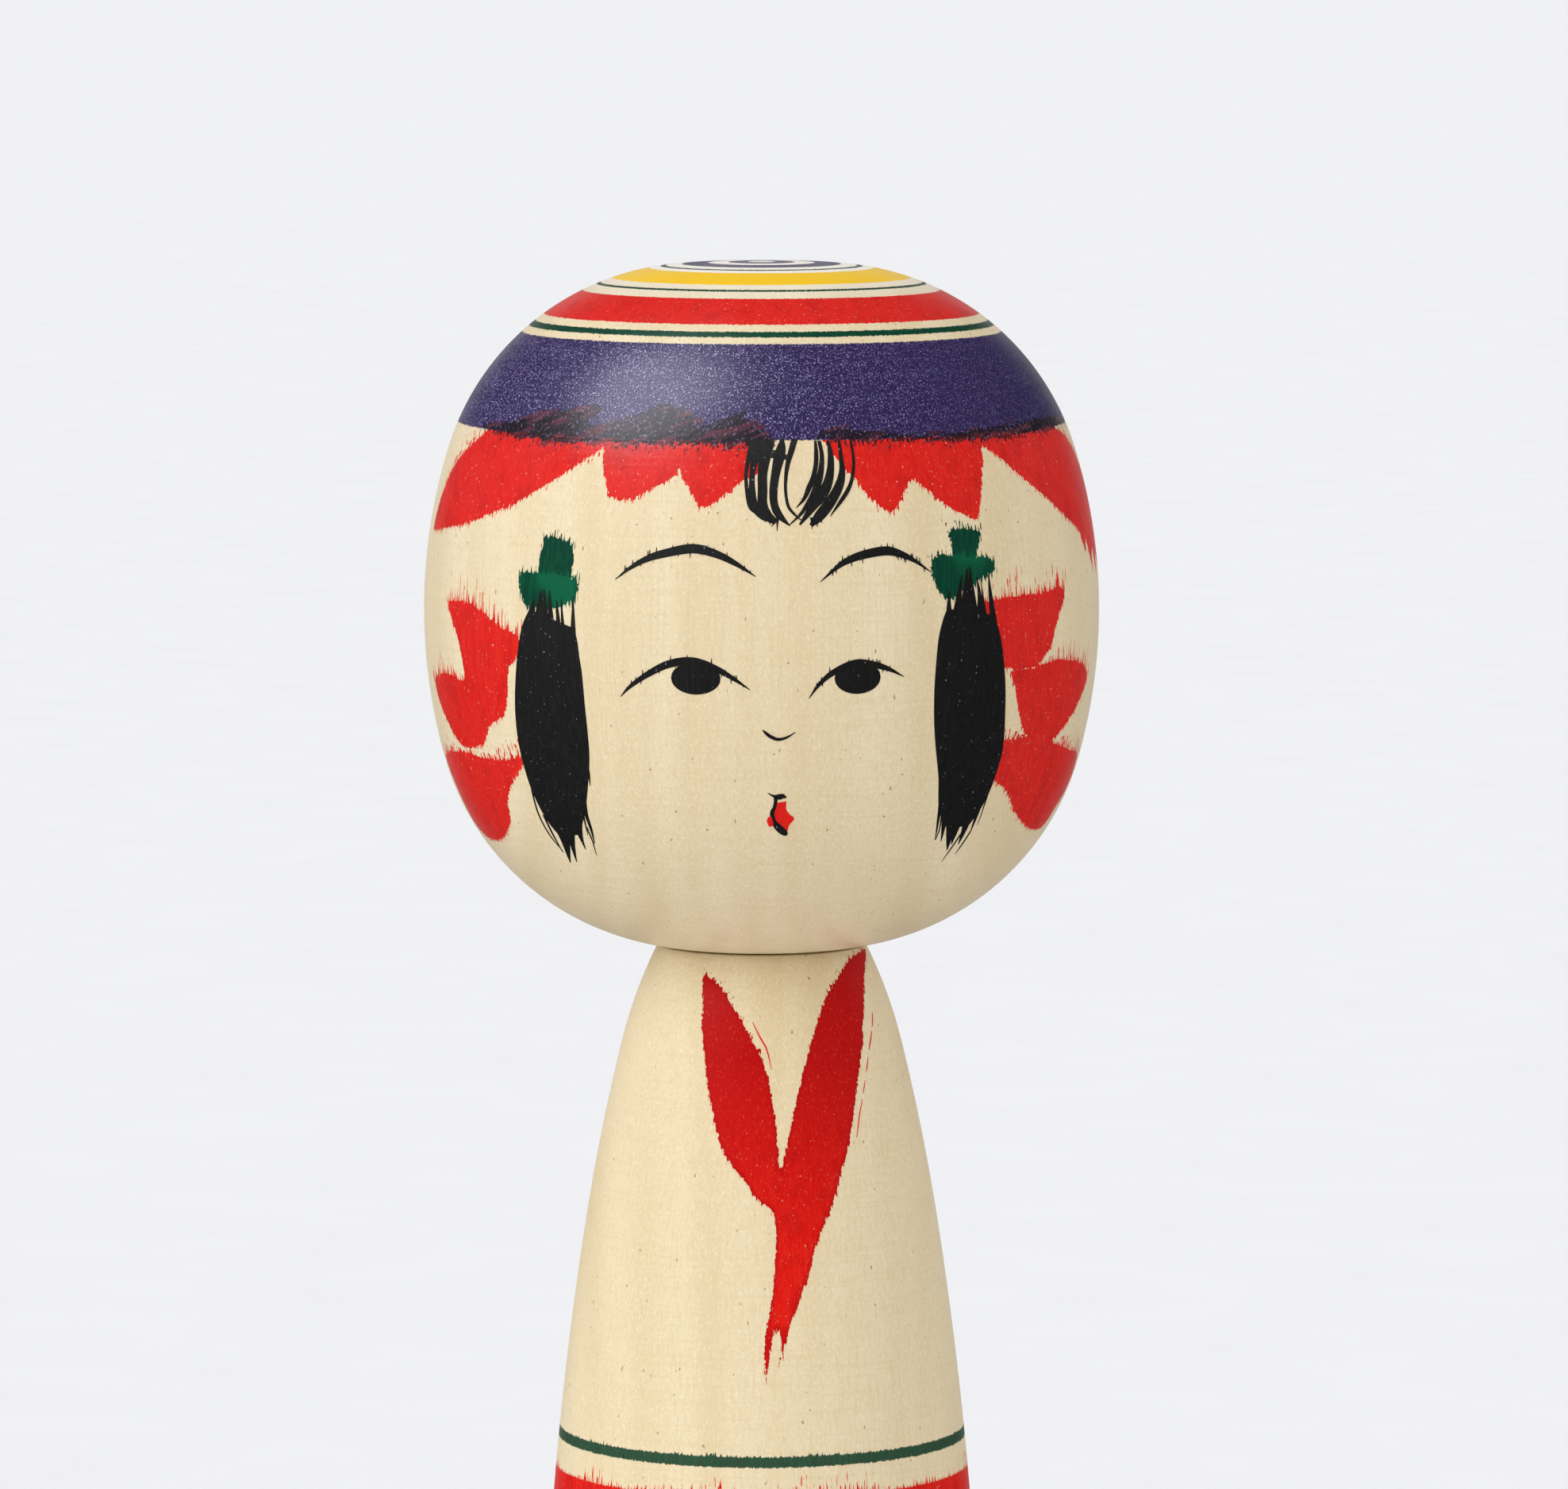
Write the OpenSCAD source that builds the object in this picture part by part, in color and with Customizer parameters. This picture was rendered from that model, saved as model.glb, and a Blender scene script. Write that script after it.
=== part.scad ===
// Turned wooden doll: a large round head plugged into a bullet-shaped body.
// The head carries its own straight tenon, which turns in a blind socket in the body.
// Units are millimetres, +Z is up and the doll's face looks along -Y.

/* [Overall] */
// Height of the standing doll, from the foot to the crown
doll_height = 242; // [210:1:300]
// Number of sides round the turned surfaces
round_sides = 192; // [96:16:256]
// Largest turn between two points of an outline, in degrees
outline_step = 2.5; // [1.5:0.5:4]

/* [Head outline, from the crown down] */
// Radius of the nearly flat crown
crown_radius = 165.5; // [120:0.5:220]
// Turn of the outline over the crown, in degrees
crown_sweep = 3.2; // [2:0.1:5]
// Radius of the brow of the head, where the hair bands sit
brow_radius = 30.4; // [28:0.1:33]
// Turn of the outline over the brow, in degrees
brow_sweep = 69.3; // [66:0.1:72]
// Radius of the nearly upright temple
temple_radius = 63.8; // [56:0.2:72]
// Turn of the outline over the temple, in degrees
temple_sweep = 33.3; // [30:0.1:38]
// Radius of the cheek and jaw
jaw_radius = 30.4; // [28:0.1:32]
// Turn of the outline over the cheek and jaw, in degrees
jaw_sweep = 65.9; // [62:0.1:70]

/* [Body outline, from the shoulder down] */
// Radius of the body at the seam under the chin
shoulder_top_radius = 12.2; // [10.4:0.1:13]
// Slope of the shoulder at the seam, measured from the upright, in degrees
shoulder_slope = 26.5; // [22:0.5:32]
// Radius of the small shoulder curve
shoulder_radius = 55.7; // [48:0.1:64]
// Slope where the shoulder curve meets the long flank, in degrees
flank_slope = 13.9; // [12:0.1:17]
// Radius of the long flank
flank_radius = 250; // [200:5:320]
// Slope where the flank meets the hip, in degrees
hip_slope = 8.8; // [7:0.2:11]
// Radius of the hip, which runs out upright
hip_radius = 454; // [380:2:520]
// Width of the bevel round the foot
foot_bevel = 1.0; // [0.4:0.1:2]

/* [Neck joint] */
// Radius of the head's tenon
tenon_radius = 6.5; // [5:0.1:7.5]
// Length of the tenon below the head
tenon_length = 34; // [24:1:40]
// Bevel on the tip of the tenon
tenon_bevel = 1.2; // [0.6:0.1:2]
// Gap all round the tenon, which lets the head turn stiffly
socket_clearance = 0.05; // [0.02:0.01:0.1]
// Space left under the tip of the tenon
socket_floor_gap = 2; // [1:0.5:4]
// Countersink at the mouth of the socket
socket_mouth_bevel = 0.8; // [0.4:0.1:1.2]
// Gap between the head and the top of the body
seam_gap = 0.2; // [0.1:0.05:0.3]

/* [Underside] */
// Radius of the shallow hollow turned in the underside
hollow_radius = 20; // [14:1:22]
// Depth of that hollow
hollow_depth = 0.6; // [0.3:0.1:1.2]
// Distance of the lathe's claw marks from the axis
claw_distance = 9; // [7:0.5:10]
// Length of one claw mark
claw_length = 4; // [3:0.5:5]
// Width of one claw mark
claw_width = 0.9; // [0.6:0.1:1.4]
// Depth of one claw mark below the hollow
claw_depth = 1.5; // [0.8:0.1:2.5]

/* [Hidden] */
claw_marks = 4;
cut_margin = 1;
upright = 90;
socket_radius = tenon_radius + socket_clearance;
socket_depth = tenon_length + socket_floor_gap;

// One stretch of outline: points of an arc that starts at (r, z) with its outward
// normal at angle start from +Z and turns by sweep; the start point is left out.
function arc_points(r, z, radius, start, sweep) =
    let (steps = ceil(sweep / outline_step))
    [for (i = [1:steps]) let (a = start + sweep * i / steps)
        [r + radius * (sin(a) - sin(start)), z + radius * (cos(a) - cos(start))]];

function last(points) = points[len(points) - 1];

// Outline of the head with the crown at z = 0.
brow_start = crown_sweep;
temple_start = brow_start + brow_sweep;
jaw_start = temple_start + temple_sweep;
crown_arc = arc_points(0, 0, crown_radius, 0, crown_sweep);
brow_arc = arc_points(last(crown_arc)[0], last(crown_arc)[1], brow_radius, brow_start, brow_sweep);
temple_arc = arc_points(last(brow_arc)[0], last(brow_arc)[1], temple_radius, temple_start, temple_sweep);
jaw_arc = arc_points(last(temple_arc)[0], last(temple_arc)[1], jaw_radius, jaw_start, jaw_sweep);
head_height = -last(jaw_arc)[1];
body_height = doll_height - head_height - seam_gap;

// Outline of the body with the seam at z = 0.
shoulder_arc = arc_points(shoulder_top_radius, 0, shoulder_radius,
    upright - shoulder_slope, shoulder_slope - flank_slope);
flank_arc = arc_points(last(shoulder_arc)[0], last(shoulder_arc)[1], flank_radius,
    upright - flank_slope, flank_slope - hip_slope);
hip_arc = arc_points(last(flank_arc)[0], last(flank_arc)[1], hip_radius,
    upright - hip_slope, hip_slope);
foot_radius = last(hip_arc)[0];

// Head in one piece with its tenon, standing on the seam.
module head() {
    color("BurlyWood")
    translate([0, 0, doll_height])
    rotate_extrude($fn = round_sides)
    polygon(concat(
        [[0, 0]], crown_arc, brow_arc, temple_arc, jaw_arc,
        [[tenon_radius, -head_height],
         [tenon_radius, -head_height - tenon_length + tenon_bevel],
         [tenon_radius - tenon_bevel, -head_height - tenon_length],
         [0, -head_height - tenon_length]]));
}

// Body with the blind socket, the hollowed underside and the claw marks.
module body() {
    color("Wheat")
    difference() {
        rotate_extrude($fn = round_sides)
        polygon(concat(
            [[0, hollow_depth], [hollow_radius, hollow_depth],
             [hollow_radius + hollow_depth, 0],
             [foot_radius - foot_bevel, 0], [foot_radius, foot_bevel]],
            [for (i = [len(hip_arc) - 1:-1:0]) hip_arc[i] + [0, body_height]],
            [for (i = [len(flank_arc) - 1:-1:0]) flank_arc[i] + [0, body_height]],
            [for (i = [len(shoulder_arc) - 1:-1:0]) shoulder_arc[i] + [0, body_height]],
            [[shoulder_top_radius, body_height],
             [socket_radius + socket_mouth_bevel, body_height],
             [socket_radius, body_height - socket_mouth_bevel],
             [socket_radius, body_height - socket_depth],
             [0, body_height - socket_depth]]));
        for (i = [0:claw_marks - 1])
            rotate([0, 0, i * 360 / claw_marks])
            translate([claw_distance - claw_length / 2, -claw_width / 2, hollow_depth - cut_margin])
            cube([claw_length, claw_width, claw_depth + cut_margin]);
    }
}

body();
head();
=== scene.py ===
"""A plugged-head wooden doll: two turned pieces of dogwood, dyed on the lathe and painted with a brush."""

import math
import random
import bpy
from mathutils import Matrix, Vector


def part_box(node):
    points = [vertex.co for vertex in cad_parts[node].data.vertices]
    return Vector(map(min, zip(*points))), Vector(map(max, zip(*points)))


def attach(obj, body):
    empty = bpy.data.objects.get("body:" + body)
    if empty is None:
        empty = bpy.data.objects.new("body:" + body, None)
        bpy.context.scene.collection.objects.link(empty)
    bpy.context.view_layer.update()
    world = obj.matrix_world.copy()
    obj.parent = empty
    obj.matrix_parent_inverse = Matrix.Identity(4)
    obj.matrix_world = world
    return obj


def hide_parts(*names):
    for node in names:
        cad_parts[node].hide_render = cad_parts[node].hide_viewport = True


bl_info = {
    "name": "Kokeshi Doll",
    "version": (1, 0, 0),
    "blender": (4, 5, 0),
    "location": "View3D > Sidebar > Doll",
    "description": "Turns, dyes and inks a wooden doll and sets it in a plain studio",
    "category": "Add Mesh",
}

import bmesh
import bpy
import numpy as np
from bpy.props import FloatProperty, FloatVectorProperty, IntProperty, PointerProperty
from mathutils import Matrix, Vector

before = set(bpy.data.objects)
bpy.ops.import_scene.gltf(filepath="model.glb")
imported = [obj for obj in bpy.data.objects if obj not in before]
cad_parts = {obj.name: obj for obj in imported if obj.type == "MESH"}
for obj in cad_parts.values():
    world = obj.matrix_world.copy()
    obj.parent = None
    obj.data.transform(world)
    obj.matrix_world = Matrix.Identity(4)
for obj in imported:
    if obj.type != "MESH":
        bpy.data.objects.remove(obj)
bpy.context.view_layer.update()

MM = 0.001
HEAD_BODY = "doll_head"
FOOT_BODY = "doll_body"


def linear(code):
    """An sRGB hex colour as linear red, green and blue."""
    parts = [int(code[i : i + 2], 16) / 255 for i in (1, 3, 5)]
    return tuple(p / 12.92 if p <= 0.04045 else ((p + 0.055) / 1.055) ** 2.4 for p in parts)


# ---------------------------------------------------------------- settings


def length(name, text, value):
    return FloatProperty(name=name, description=text, default=value * MM, unit="LENGTH", precision=5)


def lengths(name, text, values):
    return FloatVectorProperty(
        name=name, description=text, default=[v * MM for v in values], size=len(values), unit="LENGTH"
    )


def angles(name, text, values):
    return FloatVectorProperty(
        name=name,
        description=text,
        default=[math.radians(v) for v in values],
        size=len(values),
        subtype="EULER" if len(values) == 3 else "NONE",
        unit="ROTATION",
    )


def colour(name, text, code):
    return FloatVectorProperty(
        name=name, description=text, default=linear(code), subtype="COLOR", min=0, max=1
    )


class DollTurning(bpy.types.PropertyGroup):
    """Outlines of the two turned pieces, which follow the frame."""

    head_radii: lengths("Head arcs", "Radii of the crown, brow, temple and jaw", (165.5, 30.4, 63.8, 30.4))
    head_sweeps: angles("Head sweeps", "Turns of the crown, brow, temple and jaw", (3.2, 69.3, 33.3, 65.9))
    tenon_bevel: length("Tenon bevel", "Bevel on the tip of the tenon", 1.2)
    tenon_radius: length("Tenon radius", "Radius of the head's tenon", 6.5)
    shoulder_top: length("Shoulder top", "Radius of the body at the seam", 12.2)
    body_radii: lengths("Body arcs", "Radii of the shoulder, flank and hip", (55.7, 250, 454))
    body_slopes: angles("Body slopes", "Slopes where the shoulder, flank and hip start", (26.5, 13.9, 8.8))
    seam_round: length("Seam rounding", "Worn edge at the top of the body", 0.3)
    foot_bevel: length("Foot bevel", "Bevel round the foot", 1.0)
    socket_radius: length("Socket radius", "Radius of the blind socket", 6.55)
    socket_depth: length("Socket depth", "Depth of the blind socket", 36)
    socket_bevel: length("Socket bevel", "Countersink at the mouth of the socket", 0.8)
    hollow_radius: length("Hollow radius", "Radius of the shallow hollow underneath", 20)
    hollow_depth: length("Hollow depth", "Depth of the shallow hollow underneath", 0.6)
    claw_distance: length("Claw distance", "Distance of the lathe's claw marks from the axis", 9)
    claw_length: length("Claw length", "Length of one claw mark", 4)
    claw_width: length("Claw width", "Width of one claw mark", 0.9)
    claw_depth: length("Claw depth", "Depth of one claw mark", 1.5)
    row: length("Row", "Spacing of the mesh along the outline", 0.5)


class DollPaint(bpy.types.PropertyGroup):
    """How the dye and the ink lie on the wood."""

    bleed: length("Bleed", "Longest run of dye up the grain from a painted edge", 2.8)
    brush_drop: length("Brush level", "How far under the crown the heights on the head are zero", 79.39)
    ink_film: length("Ink film", "Thickness of the brushed ink", 0.03)
    seed: IntProperty(name="Seed", description="Start of the brush's random bristles", default=8)


class DollColours(bpy.types.PropertyGroup):
    """Colours of the wood and of what is on it."""

    wood: colour("Wood", "Waxed dogwood", "#E6D6B3")
    wood_light: colour("Light wood", "Lightest fibres of the wood", "#F1E4C6")
    wood_dark: colour("Dark wood", "Darker grain of the wood", "#D6BF93")
    # end grain at the crown, with a painted sheen of the light above in it
    crown_grain_and_sheen: colour("End grain", "Whiter end grain at the crown", "#FBF6EC")
    wood_speck: colour("Wood speck", "Small brown flecks in the wood", "#8C6A3E")
    red: colour("Red", "Red dye", "#D8140B")
    red_thin: colour("Thin red", "Red dye where it is thin", "#E63C2C")
    red_deep: colour("Deep red", "Red dye where it lies thick", "#AE0A0B")
    purple: colour("Purple", "Purple dye", "#281D4C")
    purple_wax: colour("Purple wax", "Wax over the purple dye", "#625391")
    # pale specks of wax and lint; on the purple band they are painted glints of the light
    pale_speck_and_glint: colour("Wax grain", "Grains of wax that catch the light", "#A9A0CA")
    green: colour("Green", "Green dye", "#003C2A")
    green_thin: colour("Thin green", "Green dye where it is thin", "#005C3E")
    yellow: colour("Yellow", "Yellow dye", "#F7C60A")
    yellow_thin: colour("Thin yellow", "Yellow dye where it is thin", "#FAD63E")
    ink: colour("Ink", "Black brushed ink", "#181817")
    ink_thin: colour("Thin ink", "Ink where the brush ran dry", "#262422")
    wash: colour("Wash", "Ink rubbed over the dye", "#211820")
    wash_red: colour("Reddish wash", "Dye that shows through the rubbed ink", "#6E2A2C")
    paper: colour("Paper", "Seamless pale paper", "#E8E8E9")
    paper_thin: colour("Paper mottle", "Slight mottle of the paper", "#E6E6E7")


# ---------------------------------------------------------------- outlines

COARSE = 4  # rows on plain straight stretches are this much longer than on the curves
SLOPE_STEP = 0.2 * MM  # how far apart the radii are taken for the slope of a surface


class Outline:
    """A turned outline as rows of (radius, height, distance along it), from the top down."""

    def __init__(self, rows):
        table = np.array(rows)
        self.rows = table
        order = np.argsort(table[:, 1], kind="stable")
        self.heights = table[order, 1]
        self.radii = table[order, 0]

    def radius(self, height):
        return np.interp(height, self.heights, self.radii)

    def point(self, angle, height, lift=0.0):
        """Place on the surface at an angle from the front and a height, lifted along the normal."""
        radius = self.radius(height)
        slope = self.radius(height + SLOPE_STEP) - self.radius(height - SLOPE_STEP)
        slope = slope / (2 * SLOPE_STEP)
        size = np.sqrt(1 + slope**2)
        radius = radius + lift / size
        height = height - lift * slope / size
        return np.stack([radius * np.sin(angle), -radius * np.cos(angle), height + 0 * radius], -1)


def arc_rows(start, radius, begin, sweep, row):
    """Rows of one arc; begin is the angle of its outward normal from straight up."""
    r, z, along = start
    steps = max(2, math.ceil(radius * sweep / row))
    rows = []
    for i in range(1, steps + 1):
        turn = sweep * i / steps
        rows.append(
            (
                r + radius * (math.sin(begin + turn) - math.sin(begin)),
                z + radius * (math.cos(begin + turn) - math.cos(begin)),
                along + radius * turn,
            )
        )
    return rows


def add_straights(rows, places, row):
    """Adds rows of straight stretches from the last row to each place (radius, height) in turn."""
    for r1, z1 in places:
        r0, z0, along = rows[-1]
        size = math.hypot(r1 - r0, z1 - z0)
        steps = max(1, math.ceil(size / row))
        for i in range(1, steps + 1):
            share = i / steps
            rows.append((r0 + (r1 - r0) * share, z0 + (z1 - z0) * share, along + size * share))


def head_outline(turning):
    """The head from the crown to the seam."""
    rows = [(0.0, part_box("head")[1].z, 0.0)]
    begin = 0.0
    for radius, sweep in zip(turning.head_radii, turning.head_sweeps):
        rows += arc_rows(rows[-1], radius, begin, sweep, turning.row)
        begin += sweep
    return Outline(rows)


def body_outline(turning):
    """The body from the seam to the foot."""
    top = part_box("body")[1].z
    rows = [(turning.shoulder_top, top, 0.0)]
    slopes = [*turning.body_slopes, 0.0]
    for radius, slope, following in zip(turning.body_radii, slopes, slopes[1:]):
        rows += arc_rows(rows[-1], radius, math.pi / 2 - slope, slope - following, turning.row)
    add_straights(rows, [(rows[-1][0], turning.foot_bevel)], COARSE * turning.row)
    return Outline(rows)


def smooth(points, steps, closed=False):
    """A Catmull-Rom curve through the points, as an array of places."""
    knots = np.array(points, float)
    if closed:
        knots = np.vstack([knots[-1:], knots, knots[:2]])
    else:
        knots = np.vstack([2 * knots[0] - knots[1], knots, 2 * knots[-1] - knots[-2]])
    t = np.linspace(0, 1, steps, endpoint=False)[:, None]
    pieces = []
    for a, b, c, d in zip(knots, knots[1:], knots[2:], knots[3:]):
        bend = (2 * a - 5 * b + 4 * c - d) * t**2 + (3 * b - a - 3 * c + d) * t**3
        pieces.append(0.5 * (2 * b + (c - a) * t + bend))
    if not closed:
        pieces.append(knots[-2:-1])
    return np.vstack(pieces)


# ---------------------------------------------------------------- meshes


SHARP = math.radians(30)  # edges that turn more than this stay crisp


def keep(name, bm, body, material, node=None):
    """Makes the finished piece from a bmesh and says what it rides on and stands for."""
    mesh = bpy.data.meshes.new(name)
    bm.to_mesh(mesh)
    bm.free()
    mesh.materials.append(material)
    piece = bpy.data.objects.new(name, mesh)
    bpy.context.scene.collection.objects.link(piece)
    if not len(mesh.polygons):
        raise RuntimeError(f"{name} has no faces")
    mesh.polygons.foreach_set("use_smooth", [True] * len(mesh.polygons))
    mesh.set_sharp_from_angle(angle=SHARP)
    if node:
        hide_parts(node)
    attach(piece, body)
    return piece


SLICE = math.radians(20)  # the lathe's turn is spun slice by slice, which is much quicker
FRONT_SLICES, FRONT_COLUMNS = 10, 22  # the sector in front, which carries the brushwork
BACK_SLICES, BACK_COLUMNS = 8, 7
SAME_PLACE = 0.002 * MM


def with_links(verts):
    """The vertices, and every edge and face on them."""
    edges = {edge for vert in verts for edge in vert.link_edges}
    faces = {face for vert in verts for face in vert.link_faces}
    return [*verts, *edges, *faces]


def turn_on_lathe(rows):
    """Spins rows of (radius, height, distance along) about the axis, finer in front."""
    bm = bmesh.new()
    along = bm.verts.layers.float.new("along")
    angle = -SLICE * FRONT_SLICES / 2
    for slices, columns in ((FRONT_SLICES, FRONT_COLUMNS), (BACK_SLICES, BACK_COLUMNS)):
        chain = []
        for r, z, distance in rows:
            vert = bm.verts.new((r * math.sin(angle), -r * math.cos(angle), z))
            vert[along] = distance
            chain.append(vert)
        edges = [bm.edges.new(pair) for pair in zip(chain, chain[1:])]
        old = set(bm.verts) - set(chain)
        about = {"cent": (0, 0, 0), "axis": (0, 0, 1), "angle": SLICE}
        bmesh.ops.spin(bm, geom=chain + edges, steps=columns, use_merge=False, **about)
        geometry = with_links([vert for vert in bm.verts if vert not in old])
        for number in range(1, slices):
            copy = bmesh.ops.duplicate(bm, geom=geometry)["geom"]
            verts = [item for item in copy if isinstance(item, bmesh.types.BMVert)]
            turn = Matrix.Rotation(number * SLICE, 3, "Z")
            bmesh.ops.rotate(bm, cent=(0, 0, 0), matrix=turn, verts=verts)
        angle += slices * SLICE
    bmesh.ops.remove_doubles(bm, verts=bm.verts, dist=SAME_PLACE)
    bmesh.ops.recalc_face_normals(bm, faces=bm.faces)
    return bm


def cut_claw_marks(bm, turning):
    """Closes the hollow underneath and sinks the four marks that the lathe's chuck left in it."""
    rim = [edge for edge in bm.edges if edge.is_boundary]
    disc = bmesh.ops.edgeloop_fill(bm, edges=rim)["faces"]
    near = turning.claw_distance - turning.claw_length / 2
    far = turning.claw_distance + turning.claw_length / 2
    side = turning.claw_width / 2
    for axis in ((1, 0, 0), (0, 1, 0)):
        for place in (-far, -near, -side, side, near, far):
            edges = {edge for face in disc for edge in face.edges}
            verts = {vert for face in disc for vert in face.verts}
            middle = [place * part for part in axis]
            cut = bmesh.ops.bisect_plane(
                bm, geom=[*disc, *edges, *verts], dist=SAME_PLACE / 2, plane_co=middle, plane_no=axis
            )
            disc = [item for item in cut["geom"] if isinstance(item, bmesh.types.BMFace)]
    marks = []
    for face in disc:
        middle = face.calc_center_median()
        across, out = sorted((abs(middle.x), abs(middle.y)))
        if across < side and near < out < far:
            marks.append(face)
    sunk = bmesh.ops.extrude_discrete_faces(bm, faces=marks)["faces"]
    verts = list({vert for face in sunk for vert in face.verts})
    bmesh.ops.translate(bm, vec=(0, 0, turning.claw_depth), verts=verts)
    bmesh.ops.recalc_face_normals(bm, faces=bm.faces)


def signed_field(places, outlines, surface, reach):
    """Distance of each place to the painted outlines, negative inside, and how far up it lies from
    the nearest edge as a share of that distance."""
    angle = np.arctan2(places[:, 0], -places[:, 1])
    height = places[:, 2]
    field = np.full(len(places), reach)
    rise = np.zeros(len(places))
    for outline in outlines:
        edge = surface.point(outline[:, 0], outline[:, 1])
        following = np.roll(edge, -1, 0)
        margin = reach / surface.radius(outline[:, 1].mean())
        (first, low), (last, high) = outline.min(0), outline.max(0)
        near = (height > low - reach) & (height < high + reach)
        near &= (angle > first - margin) & (angle < last + margin)
        picked = np.flatnonzero(near)
        if not len(picked):
            continue
        spots = places[picked]
        best = np.full(len(picked), np.inf)
        up = np.zeros(len(picked))
        inside = np.zeros(len(picked), bool)
        for a, b, (u0, v0), (u1, v1) in zip(edge, following, outline, np.roll(outline, -1, 0)):
            run = b - a
            share = np.clip((spots - a) @ run / max(run @ run, 1e-18), 0, 1)
            gap = spots - (a + share[:, None] * run)
            size = np.linalg.norm(gap, axis=1)
            closer = size < best
            best = np.where(closer, size, best)
            up = np.where(closer, gap[:, 2] / np.maximum(size, 1e-9), up)
            crosses = (v0 > height[picked]) != (v1 > height[picked])
            if v1 != v0:
                at = u0 + (height[picked] - v0) * (u1 - u0) / (v1 - v0)
                inside ^= crosses & (angle[picked] < at)
        sign = np.where(inside, -1.0, 1.0)
        lower = best * sign < field[picked]
        field[picked] = np.where(lower, best * sign, field[picked])
        rise[picked] = np.where(lower, up * sign, rise[picked])
    return field, rise


def paint_field(piece, name, shapes, surface, level, reach=4.0 * MM):
    """Stores the distance to a dye's edge, in millimetres, and its rise as attributes of the piece."""
    mesh = piece.data
    places = np.empty(len(mesh.vertices) * 3)
    mesh.vertices.foreach_get("co", places)
    outlines = []
    for shape in shapes:
        knots = [(math.radians(a), level + z * MM) for a, z in shape]
        outlines.append(smooth(knots, 5, closed=True))
    field, rise = signed_field(places.reshape(-1, 3), outlines, surface, reach)
    for suffix, values in (("edge", field / MM), ("rise", rise)):
        layer = mesh.attributes.new(f"{name}_{suffix}", "FLOAT", "POINT")
        layer.data.foreach_set("value", values.astype(np.float32))


THINNEST = 0.02 * MM  # half width of the finest hair of ink


def brush_line(bm, surface, level, knots, lift, across=3, steps=6):
    """One stroke of the brush: a thin film through knots of (degrees, mm, half width in mm)."""
    path = smooth([(math.radians(a), level + z * MM, w * MM) for a, z, w in knots], steps)
    count = len(path) - 1
    made = bmesh.ops.create_grid(bm, x_segments=across, y_segments=count, size=1)
    spots = surface.point(path[:, 0], path[:, 1])
    ways = np.gradient(spots, axis=0)
    normals = surface.point(path[:, 0], path[:, 1], MM) - spots
    sides = np.cross(normals, ways)
    sides /= np.maximum(np.linalg.norm(sides, axis=1), 1e-12)[:, None]
    widths = np.maximum(path[:, 2], THINNEST)
    for vert in made["verts"]:
        i = round((vert.co.y + 1) / 2 * count)
        spot = spots[i] - sides[i] * widths[i] * vert.co.x
        angle = math.atan2(spot[0], -spot[1])
        vert.co = surface.point(angle, spot[2], lift)
    faces = list({face for vert in made["verts"] for face in vert.link_faces})
    bmesh.ops.recalc_face_normals(bm, faces=faces)
    faces[0].normal_update()
    outward = faces[0].calc_center_median()
    outward.z = 0
    if faces[0].normal.dot(outward) < 0:
        bmesh.ops.reverse_faces(bm, faces=faces)


def brush_mass(bm, surface, level, left, right, lift, across=10, steps=8):
    """A broad film between a left edge and a right edge, from the top down."""
    edges = [smooth([(math.radians(a), level + z * MM) for a, z in side], steps) for side in (left, right)]
    count = min(len(edge) for edge in edges) - 1
    made = bmesh.ops.create_grid(bm, x_segments=across, y_segments=count, size=1)
    for vert in made["verts"]:
        down = round((1 - vert.co.y) / 2 * count)
        share = (vert.co.x + 1) / 2
        angle, height = edges[0][down] * (1 - share) + edges[1][down] * share
        vert.co = surface.point(angle, height, lift)


def oval(angle, height, half_angle, half_height, knots=11):
    """Knots of one stroke that fills an oval."""
    turns = [math.pi * i / (knots - 1) for i in range(knots)]
    return [(angle - half_angle * math.cos(t), height, half_height * math.sin(t)) for t in turns]


def bled_hairs(rng, stroke, chance, reach, upward=0.65, narrow=0.1):
    """Short upright hairs, more of them upward, where the ink of a stroke ran along the fibres."""
    path = smooth(stroke, 10)
    hairs = []
    for angle, height, half in path[1:-1]:
        if half < narrow or rng.random() > chance:
            continue
        way = 1 if rng.random() < upward else -1
        tip = height + way * (half + reach * rng.uniform(0.25, 1) ** 2)
        hairs.append(((angle, height, 0.08), (angle, (height + tip) / 2, 0.07), (angle, tip, 0.02)))
    return hairs


def thicken(bm, thickness):
    """Gives every film its thickness, inwards, and points all its faces out."""
    bmesh.ops.solidify(bm, geom=bm.faces[:], thickness=thickness)
    bmesh.ops.recalc_face_normals(bm, faces=bm.faces)

# ---------------------------------------------------------------- materials


def put(tree, kind, *values, sockets=None, output=None, **settings):
    """Adds a node with its settings, sets or links its open sockets in turn and those named in
    sockets, and gives back its output."""
    node = tree.nodes.new("ShaderNode" + kind)
    for key, value in settings.items():
        setattr(node, key, value)
    pairs = list(zip([socket for socket in node.inputs if socket.enabled], values))
    pairs += [(node.inputs[key], value) for key, value in (sockets or {}).items()]
    for socket, value in pairs:
        if isinstance(value, bpy.types.NodeSocket):
            tree.links.new(value, socket)
        else:
            socket.default_value = (*value, 1.0) if socket.type == "RGBA" else value
    if output:
        return node.outputs[output]
    return next((socket for socket in node.outputs if socket.enabled), None)


def grain(tree, pitch, seed, detail=1.0, lean=0.0):
    """Noise whose grains are pitch = (x, y, z) millimetres in size, leaning by some degrees."""
    place = put(tree, "TexCoord", output="Object")
    start = (seed, 1.7 * seed, 0.3 * seed)  # each seed looks at another part of the noise
    tilt = (0.0, math.radians(lean), 0.0)
    spot = put(tree, "Mapping", place, start, tilt, [p * MM for p in pitch], vector_type="TEXTURE")
    return put(tree, "TexNoise", sockets={"Vector": spot, "Scale": 1.0, "Detail": detail})


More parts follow.
